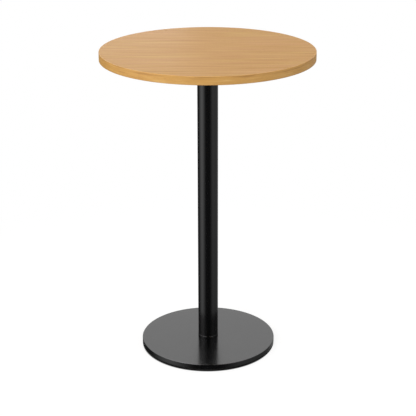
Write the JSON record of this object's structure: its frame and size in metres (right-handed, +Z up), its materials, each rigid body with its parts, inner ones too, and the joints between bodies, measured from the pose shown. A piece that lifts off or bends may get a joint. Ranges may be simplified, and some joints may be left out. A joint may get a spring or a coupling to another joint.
{
  "type": "round bar table",
  "caption": "Tall round bar table: a wood veneered disc top on a slim black steel column and a flat round black base with screw glides underneath.",
  "frame": {"origin": "centre of the column's axis on the floor, with the glides screwed fully in", "axes": "+Z up along the column's axis; +X along the top's wood grain, to the right in the picture; +Y away from the viewer"},
  "size_m": [0.75, 0.75, 1.11],
  "materials": {
    "wood_face": "satin lacquered veneer, straight fine grain",
    "wood_back": "plain backing veneer",
    "wood_edge": "satin lacquered edge strip, grain along the edge",
    "board": "raw chipboard",
    "black_paint": "satin black powder coat on steel",
    "cast_iron": "dark primed iron casting",
    "zinc_steel": "bright zinc plate",
    "bare_steel": "turned steel",
    "black_screw": "black oxide",
    "rubber": "matt black rubber",
    "black_plastic": "moulded black plastic"
  },
  "bodies": {
    "table": {"top_veneer": "wood_face", "top_core": "board", "backing_veneer": "wood_back", "edge_band": "wood_edge", "threaded_inserts": "zinc_steel", "spider_hub": "black_paint", "top_screws": "black_screw", "top_washers": "zinc_steel", "column_tube": "black_paint", "foot_collar": "black_paint", "foot_centring_disc": "bare_steel", "locating_dowel": "bare_steel", "tie_rod": "zinc_steel", "head_nut": "zinc_steel", "head_lock_washer": "zinc_steel", "head_washer": "zinc_steel", "foot_nut": "zinc_steel", "foot_washer": "zinc_steel", "base_cover": "black_paint", "ballast_disc": "cast_iron", "floor_ring": "rubber", "spider_arm_1": "black_paint", "spider_arm_2": "black_paint", "spider_arm_3": "black_paint", "spider_arm_4": "black_paint"},
    "pad_1": {"glide_pad_1": "black_plastic"},
    "stud_1": {"glide_stud_1": "zinc_steel"},
    "pad_2": {"glide_pad_2": "black_plastic"},
    "stud_2": {"glide_stud_2": "zinc_steel"},
    "pad_3": {"glide_pad_3": "black_plastic"},
    "stud_3": {"glide_stud_3": "zinc_steel"},
    "pad_4": {"glide_pad_4": "black_plastic"},
    "stud_4": {"glide_stud_4": "zinc_steel"}
  },
  "joints": [
    {"name": "pad_1_height", "type": "slide", "parent": "table", "child": "pad_1", "axis": [0, 0, -1], "range_m": [0, 0.005]},
    {"name": "stud_1_turn", "type": "hinge", "parent": "pad_1", "child": "stud_1", "pos_m": [0.1352, 0.1352, 0.01], "axis": [0, 0, -1], "range_deg": [0, 1440.5]},
    {"name": "pad_2_height", "type": "slide", "parent": "table", "child": "pad_2", "axis": [0, 0, -1], "range_m": [0, 0.005]},
    {"name": "stud_2_turn", "type": "hinge", "parent": "pad_2", "child": "stud_2", "pos_m": [-0.1352, 0.1352, 0.01], "axis": [0, 0, -1], "range_deg": [0, 1440.5]},
    {"name": "pad_3_height", "type": "slide", "parent": "table", "child": "pad_3", "axis": [0, 0, -1], "range_m": [0, 0.005]},
    {"name": "stud_3_turn", "type": "hinge", "parent": "pad_3", "child": "stud_3", "pos_m": [-0.1352, -0.1352, 0.01], "axis": [0, 0, -1], "range_deg": [0, 1440.5]},
    {"name": "pad_4_height", "type": "slide", "parent": "table", "child": "pad_4", "axis": [0, 0, -1], "range_m": [0, 0.005]},
    {"name": "stud_4_turn", "type": "hinge", "parent": "pad_4", "child": "stud_4", "pos_m": [0.1352, -0.1352, 0.01], "axis": [0, 0, -1], "range_deg": [0, 1440.5]}
  ],
  "couplings": [
    {"joint": "stud_1_turn", "follows": "pad_1_height", "rad_per_m": 5026.5},
    {"joint": "stud_2_turn", "follows": "pad_2_height", "rad_per_m": 5026.5},
    {"joint": "stud_3_turn", "follows": "pad_3_height", "rad_per_m": 5026.5},
    {"joint": "stud_4_turn", "follows": "pad_4_height", "rad_per_m": 5026.5}
  ]
}
